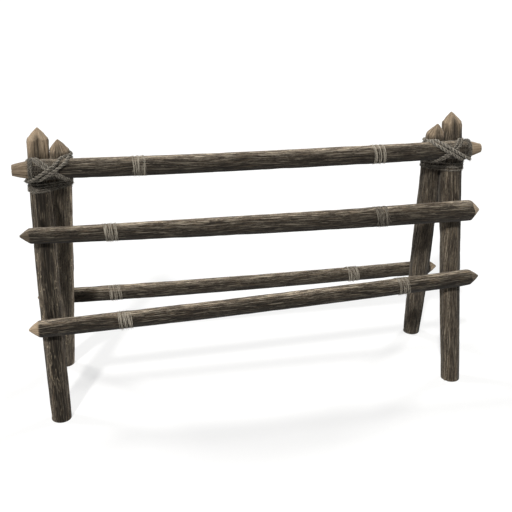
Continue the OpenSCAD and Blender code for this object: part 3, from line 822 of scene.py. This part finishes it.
class RopeMesh:
    """Gathers strands and loose fibres into one mesh."""

    def __init__(self, rng):
        self.points, self.faces, self.lay, self.tone, self.wear_and_crease_shade = [], [], [], [], []
        self.made = 0
        self.rng = rng

    def add_tube(self, points, radius, guide, sides, spin, tone, core=None):
        """Adds a tube. Core is the line it is twisted round: what lies furthest from that is worn lighter,
        and what lies nearest it gets painted shade, as in the grooves between strands.
        """
        vertices, faces, angle = tube(points, radius, guide, sides, self.made)
        along = np.repeat(lengths(points), sides)
        turned = angle + spin * along
        size = float(np.max(radius))
        self.points.append(vertices)
        self.faces += faces
        self.lay.append(np.stack([along + tone * 10, size * np.cos(turned), size * np.sin(turned)], -1))
        self.tone.append(np.full(len(vertices), tone))
        wear_and_crease_shade = np.ones(len(vertices))
        if core is not None:
            wear_and_crease_shade = np.linalg.norm(vertices - np.repeat(core, sides, 0), axis=1) / (2 * size)
        self.wear_and_crease_shade.append(wear_and_crease_shade)
        self.made += len(vertices)

    def add_rope(self, path, diameter, guide, tone=0.0):
        """Strands twisted round a path. Returns the path as it was drawn."""
        radius = diameter / 2
        lay = LAY * diameter
        path = soften(resample(path, lay / 12), 1)
        length = lengths(path)
        out, over = frame_of(path, guide)
        start = self.rng.uniform(0, TURN)
        for strand in range(STRANDS):
            swing = (TURN * (length / lay + strand / STRANDS) + start)[:, None]
            centre = path + radius * STRAND_R * (np.cos(swing) * out + np.sin(swing) * over)
            thick = radius * STRAND_R * (1 + 0.05 * np.sin(length / mm(7) + strand * 2 + start))
            thick[[0, -1]] *= 0.6
            shade = tone + self.rng.uniform(-0.5, 0.5)
            self.add_tube(centre, thick, guide, STRAND_SIDES, -TURN / (lay * 0.35), shade, path)
        return path

    def add_fibres(self, path, diameter, away, count, longest=mm(20)):
        """Loose fibres that lie on the rope or stand off it; away gives the direction off the wood."""
        rng = self.rng
        share = np.linspace(0, 1, FIBRE_POINTS)[:, None]
        for _ in range(count):
            k = rng.integers(2, len(path) - 2)
            along = unit(path[k + 1] - path[k - 1]) * rng.choice([-1, 1])
            out = unit(away(path[k]))
            side = np.cross(along, out)
            out = unit(out + side * rng.uniform(-1.4, 1.4))
            length = rng.uniform(0.3, 1.0) * longest
            lift = rng.uniform(0.0, 0.5)
            line = (path[k] + out * diameter * 0.47 + along * length * share
                    + out * length * lift * share ** 1.5 + side * length * rng.uniform(-0.5, 0.5) * share
                    - np.array([0, 0, 1]) * length * rng.uniform(0.0, 0.3) * share ** 2)
            radius = mm(rng.uniform(0.35, 0.6)) * (1 - 0.7 * share[:, 0])
            self.add_tube(line, radius, side, 3, 0.0, rng.uniform(0, 1))

    def finish(self, name, material, slot, nodes):
        piece = make_object(name, np.concatenate(self.points), self.faces, material, nodes)
        for key, values in (("lay", self.lay), ("tone", self.tone), ("wear_and_crease_shade", self.wear_and_crease_shade)):
            store(piece, key, np.concatenate(values))


# Colours of a fibre, from the shaded folds to the worn outside, and where they lie in the noise
ROPE_FIBRE = ((0.066, 0.058, 0.046), (0.215, 0.192, 0.158), (0.46, 0.42, 0.355), (0.78, 0.725, 0.63))
BAST_FIBRE = ((0.085, 0.074, 0.060), (0.25, 0.222, 0.179), (0.50, 0.45, 0.368), (0.74, 0.675, 0.565))
FIBRE_PLACES = (0.38, 0.50, 0.61, 0.76)
# Features per metre of each noise of the rope: along a strand, and both ways across it
YARNS, FUZZ, DIRT = (60, 900, 900), (350, 2400, 2400), (14, 60, 60)


def fibre_material(name, colours):
    """Laid fibres: yarns twisted along each strand, grey with age, lighter on the worn outside, and
    darkened with painted shade on the inside of each strand.
    """
    s = Shader(bpy.data.materials.new(name))
    lay = s.attribute("lay", vector=True)
    yarns = s.noise(s.stretch(lay, YARNS))
    fuzz = s.noise(s.stretch(lay, FUZZ), roughness=0.7)
    dirt = s.noise(s.stretch(lay, DIRT), detail=4)
    light = s.total((yarns, 0.5), (fuzz, 0.22), (dirt, 0.35), (s.attribute("tone"), 0.07))
    colour = s.ramp(light, FIBRE_PLACES, colours)
    # Worn lighter on the outside of each strand, with painted shade on its inside, in the grooves between
    # strands
    colour = s.gain(colour, s.band(s.attribute("wear_and_crease_shade"), 0.45, 0.98, 0.16, 1.0))
    normal = s.bump(s.total((yarns, 0.7), (fuzz, 0.3)), 0.8, mm(1.1))
    return s.finish(colour, s.band(fuzz, 0.3, 0.7, 0.82, 0.97), normal, specular=0.12, sheen=0.12)


rope_fibre = fibre_material("rope_fibre", ROPE_FIBRE)
bast_fibre = fibre_material("bast_fibre", BAST_FIBRE)


def post_bars(side, diameter, height, low_side, more=0.0, reaches=math.inf):
    """A pair of posts at a height, as bars. A bar is point, direction, radius and height it reaches."""
    pair = [poles[f"post_{row}_{side}"] for row in ("front", "back")]
    return [(pole.point(height), pole.direction(height),
             pole.radius(height - low_side) + PRESSED * diameter + more, reaches) for pole in pair]


def round_joint(step):
    """Angle round a joint at a step along a rope, which starts and ends behind it."""
    return TURN * (0.25 + (step + 0.5) / ROPE_STEPS)


def band_point(band, way, middle, rail, posts, step):
    """Point of a band of a lashing: on the rail in front of the joint, and elsewhere on the posts."""
    angle = round_joint(step)
    in_front = -math.sin(angle) > RAIL_FROM
    high = way * band["slope"] * math.cos(angle) > 0
    share = 1 if in_front else band["high" if high else "low"]
    spread = band["on_rail" if in_front else "on_posts"]
    shift = band["rope"] * spread * (step / ROPE_STEPS - band["turns"] / 2)
    lift = min(max((abs(math.sin(angle)) - LIFT_FROM) / LIFT_RAMP, 0), 1)
    lift *= THIN_PITCH * (LIFT_IN_FRONT if in_front else LIFT_BEHIND) * band["on_top"]
    plane = sloped_plane(middle, math.radians(way * band["slope"] * share), shift)
    return tight_point([rail] if in_front else posts, lift, plane, angle)


def add_band(rope, side, band, middle):
    """One band of a lashing: sloping over the rail and, with other slopes, round the posts."""
    diameter, way = band["rope"], -SIDE[side]
    low_side = TOP_RAIL_D[side] / 2 + diameter
    posts = post_bars(side, diameter, CROSSING[side], low_side)
    top = poles["rail_top"]
    rail = (top.point(middle[0]), top.direction(middle[0]),
            max(TOP_RAIL_D.values()) / 2 + PRESSED * diameter, math.inf)
    over_collar = post_bars(side, diameter, CROSSING[side], low_side, THIN_PITCH * LIFT_IN_FRONT,
                            CROSSING[side] - TOP_RAIL_D[side] / 2 - COLLAR_GAP + diameter)
    path = [band_point(band, way, middle, rail, posts, step)
            for step in range(band["turns"] * ROPE_STEPS + 1)]
    path = drawn_tight(np.array(path), [rail] + posts + over_collar)
    guide = sloped_plane(middle, math.radians(way * band["slope"]), 0)[3]
    drawn = diameter * FULLNESS
    path = rope.add_rope(path, drawn, guide)
    rope.add_fibres(path, drawn, lambda p: (p - middle) - guide * ((p - middle) @ guide),
                    BAND_FIBRES * band["turns"])


def round_rail(pole, x, turns):
    """The way along a rail, and the ways square out of it at some turns round it."""
    along = pole.direction(x)
    across = unit(np.cross([0, 1, 0], along))
    angle = TURN * turns[:, None]
    return along, np.cos(angle) * across + np.sin(angle) * np.cross(along, across)


def add_end_wrap(rope, side):
    """Turns of the thin rope round the top rail, close outside the posts."""
    top = poles["rail_top"]
    x = END_WRAP[side]
    turn = np.linspace(0, END_WRAP_TURNS, END_WRAP_TURNS * ROPE_STEPS + 1)
    along, out = round_rail(top, x, turn + 0.25)
    station = x + WORN_D * (turn - END_WRAP_TURNS / 2) + mm(3) * np.sin(TURN * turn * 0.63 + 1)
    path = top.point(station) + (TOP_RAIL_D[side] / 2 + PRESSED * WORN_D) * out
    path = rope.add_rope(path, WORN_D, along, END_WRAP_TONE)
    rope.add_fibres(path, WORN_D, lambda p: (p - top.point(x)) * [0, 1, 1], WRAP_FIBRES * END_WRAP_TURNS)


def add_fuzz(rope, pole, low, high, count):
    """Loose bast fibres that cling to a pole round a joint, lying mostly across it."""
    rng = rope.rng
    share = np.linspace(0, 1, FIBRE_POINTS)
    for _ in range(count):
        station, turn = rng.uniform(low, high), rng.uniform(0, TURN)
        length = mm(rng.uniform(12, 40))
        angle = turn + rng.choice([-1, 1]) * share * length / pole.radius(station)
        drift = station + length * share * rng.uniform(-0.6, 0.6)
        reach = pole.radius(station) + mm(rng.uniform(0.2, 2.5)) * (1 - (2 * share - 1) ** 2)
        radius = mm(rng.uniform(0.4, 0.8)) * (1 - 0.6 * share)
        rope.add_tube(pole.around(drift, reach, angle), radius, pole.direction(station), 3, 0.0,
                      rng.uniform(-1.2, 0.6))


def build_collar(side, rng, middle):
    """Level turns of thin rope round both posts of a pair, close under the top rail."""
    collar = RopeMesh(rng)
    low_side = THIN_PITCH * (COLLAR_TURNS + 1) / 2
    height = CROSSING[side] - TOP_RAIL_D[side] / 2 - COLLAR_GAP - low_side
    posts = post_bars(side, THIN_ROPE_D, height, low_side)
    low = np.array([middle, 0, height])
    path = [tight_point(posts, 0, sloped_plane(low, 0, THIN_PITCH * (step / ROPE_STEPS - COLLAR_TURNS / 2)),
                        round_joint(step)) for step in range(COLLAR_TURNS * ROPE_STEPS + 1)]
    path = drawn_tight(np.array(path), posts)
    turn = np.linspace(0, COLLAR_TURNS * TURN, len(path))
    path[:, 2] += mm(2.4) * np.sin(0.7 * turn + SIDE[side]) + mm(1.8) * np.sin(1.6 * turn)
    path = collar.add_rope(path, WORN_D, np.array([0.0, 0.0, 1.0]), COLLAR_TONE)
    collar.add_fibres(path, WORN_D, lambda p: (p - low) * [1, 1, 0], COLLAR_FIBRES * COLLAR_TURNS)
    for row in ("front", "back"):
        add_fuzz(collar, poles[f"post_{row}_{side}"], height - low_side, height + low_side + COLLAR_GAP,
                 POST_FUZZ)
    collar.finish(f"rope_collar_{side}", rope_fibre, "rope", [f"collar_{side}"])


def build_lashing(side):
    rng = np.random.default_rng(300 + SIDE[side])
    crossed = [poles[f"post_{row}_{side}"].point(CROSSING[side])[0] for row in ("front", "back")]
    middle = np.array([(crossed[0] + crossed[1]) / 2, 0, CROSSING[side]])
    rope = RopeMesh(rng)
    add_band(rope, side, CROSS_BAND, middle - np.array([SIDE[side] * CROSS_INWARD, 0, 0]))
    add_band(rope, side, MAIN_BAND, middle)
    add_end_wrap(rope, side)
    outer = [END_WRAP[side] + SIDE[side] * mm(12), middle[0] - SIDE[side] * mm(40)]
    add_fuzz(rope, poles["rail_top"], *sorted(outer), RAIL_FUZZ)
    rope.finish(f"rope_lashing_{side}", rope_fibre, "rope", [f"lashing_{side}"])
    build_collar(side, rng, middle[0])


for rope_side in SIDE:
    build_lashing(rope_side)

STRIP_STRANDS, STRIP_WIDTH, STRIP_THICK = 5, mm(13), mm(4)
# How far the strands spread past the strip's width, and the radius of one in its thickness
STRIP_SPREAD, STRIP_R = 1.4, 0.36
STRIP_FIBRES, STRIP_FIBRE_LENGTH = 40, mm(24)
WINDING_TURNS, WINDING_PITCH, WINDING_STEPS = 3, mm(24), 60
# Middle of the left and of the right winding on each rail, and how pale they are
WINDINGS = {
    "top": ("rail_top", (mm(-615), 0.3), (mm(652), 0.8)),
    "middle": ("rail_middle", (mm(-778), 0.2), (mm(658), -1.3)),
    "lower": ("rail_lower_front", (mm(-738), 1.2), (mm(781), -0.4)),
    "back": ("rail_back", (mm(-769), 1.2), (mm(665), 1.0)),
}


def build_winding(short, side, pole, x, paleness, seed):
    """A flat strip of bast, split along its length into a few strands, wound round a rail."""
    rng = np.random.default_rng(seed)
    turn = np.linspace(0, WINDING_TURNS, WINDING_TURNS * WINDING_STEPS + 1)
    along, out = round_rail(pole, x, turn)
    strip = RopeMesh(rng)
    for strand in range(STRIP_STRANDS):
        wander = mm(2.0) * np.sin(TURN * turn / rng.uniform(0.7, 1.6) + rng.uniform(0, TURN))
        shift = (strand - (STRIP_STRANDS - 1) / 2) * STRIP_SPREAD * STRIP_WIDTH / STRIP_STRANDS + wander
        station = x + WINDING_PITCH * (turn - WINDING_TURNS / 2) * along[0] + shift
        fraying = np.sin(TURN * turn / rng.uniform(0.25, 0.6) + rng.uniform(0, TURN))
        thick = STRIP_THICK * STRIP_R * np.maximum(0.15, 0.65 + 0.45 * fraying)
        path = pole.point(station) + (pole.radius(station) + thick * 0.1)[:, None] * out
        strip.add_tube(path, thick, along, 6, 0.0, paleness + rng.uniform(-0.9, 1.4))
        strip.add_fibres(path, STRIP_THICK * 0.8, lambda p: (p - pole.point(x)) * [0, 1, 1],
                         STRIP_FIBRES, STRIP_FIBRE_LENGTH)
    strip.finish(f"bast_winding_{short}_{side}", bast_fibre, "cord", [f"winding_{short}_{side}"])


for number, (short, (rail_name, left, right)) in enumerate(WINDINGS.items()):
    build_winding(short, "left", poles[rail_name], *left, 400 + number)
    build_winding(short, "right", poles[rail_name], *right, 500 + number)

# ---- Pegs: the CAD nodes stay, with a wood of their own ----

PEG_GRAIN = (700, 60, 700)
PEG_COLOURS = ((0.16, 0.11, 0.065), (0.34, 0.25, 0.16), (0.48, 0.38, 0.26))


def peg_material():
    s = Shader(bpy.data.materials.new("peg_wood"))
    place = s.node("TexCoord").outputs["Object"]
    grain = s.noise(s.stretch(place, PEG_GRAIN), detail=4)
    colour = s.ramp(grain, (0.3, 0.55, 0.8), PEG_COLOURS)
    return s.finish(colour, s.band(grain, 0.3, 0.7, 0.6, 0.8), s.bump(grain, 0.5, mm(0.8)), specular=0.25)


peg_wood = peg_material()
for node_name, cad_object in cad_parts.items():
    if node_name.startswith("peg_"):
        for material_slot in cad_object.material_slots:
            material_slot.link = "OBJECT"
            material_slot.material = peg_wood

# ---- Floor, world and lamps ----

FLOOR_R, FLOOR_SIDES = 70.0, 96
# What the floor reflects on to the fence, and what the camera sees of it: a colour and a glow
FLOOR_PALE, FLOOR_SHOWN, FLOOR_GLOW = 0.30, 0.42, 0.6
SKY_COLOUR = (0.93, 0.97, 1.0, 1)
SKY_STRENGTH = 0.16
WHITE = (1, 1, 1, 1)


def floor_material():
    """A pale floor that shows nearly white to the camera and in reflections, and keeps its shadows."""
    s = Shader(bpy.data.materials.new("floor_white"))
    path = s.node("LightPath")
    seen = s.math("MAXIMUM", path.outputs["Is Camera Ray"], path.outputs["Is Glossy Ray"])
    seen = s.math("MAXIMUM", seen, path.outputs["Is Transmission Ray"])
    plain, shaded = [s.node("BsdfDiffuse", {"Color": (pale, pale, pale, 1)}).outputs[0]
                     for pale in (FLOOR_PALE, FLOOR_SHOWN)]
    glowing = s.node("Emission", {"Color": WHITE, "Strength": FLOOR_GLOW}).outputs[0]
    both = s.node("AddShader", {0: shaded, 1: glowing}).outputs[0]
    return s.show(s.node("MixShader", {0: seen, 1: plain, 2: both}).outputs[0])


def add_floor():
    angle = TURN * np.arange(FLOOR_SIDES) / FLOOR_SIDES
    points = [(FLOOR_R * math.cos(a), FLOOR_R * math.sin(a), 0.0) for a in angle]
    mesh = bpy.data.meshes.new("floor")
    mesh.from_pydata(points, [], [list(range(FLOOR_SIDES))])
    mesh.materials.append(floor_material())
    floor = placed("floor", mesh)


def add_world():
    """A dim sky that shows white to the camera."""
    scene.world = bpy.data.worlds.new("world")
    s = Shader(scene.world)
    path = s.node("LightPath")
    seen = s.math("MAXIMUM", path.outputs["Is Camera Ray"], path.outputs["Is Transmission Ray"])
    sky = s.node("Background", {"Color": SKY_COLOUR, "Strength": SKY_STRENGTH}).outputs[0]
    white = s.node("Background", {"Color": WHITE, "Strength": 1.0}).outputs[0]
    s.show(s.node("MixShader", {0: seen, 1: sky, 2: white}).outputs[0], "OutputWorld")


def add_lamp(name, azimuth, elevation, strength, angle, colour):
    """A soft sun. Azimuth is measured like a view's: 0 in front, less than 0 towards the left."""
    data = bpy.data.lights.new(name, "SUN")
    data.energy = strength
    data.angle = math.radians(angle)
    data.color = colour
    a, e = math.radians(azimuth), math.radians(elevation)
    source = Vector((math.sin(a) * math.cos(e), -math.cos(a) * math.cos(e), math.sin(e)))
    placed(name, data).rotation_euler = (-source).to_track_quat("-Z", "Y").to_euler()


add_floor()
add_world()
add_lamp("key", -25, 41.5, 2.3, 5, (1.0, 0.985, 0.96))
add_lamp("rim_left", -128, 50, 1.3, 14, (1.0, 0.99, 0.97))
add_lamp("rim_right", 128, 46, 1.2, 14, (1.0, 0.99, 0.97))

scene.view_settings.view_transform = "Standard"
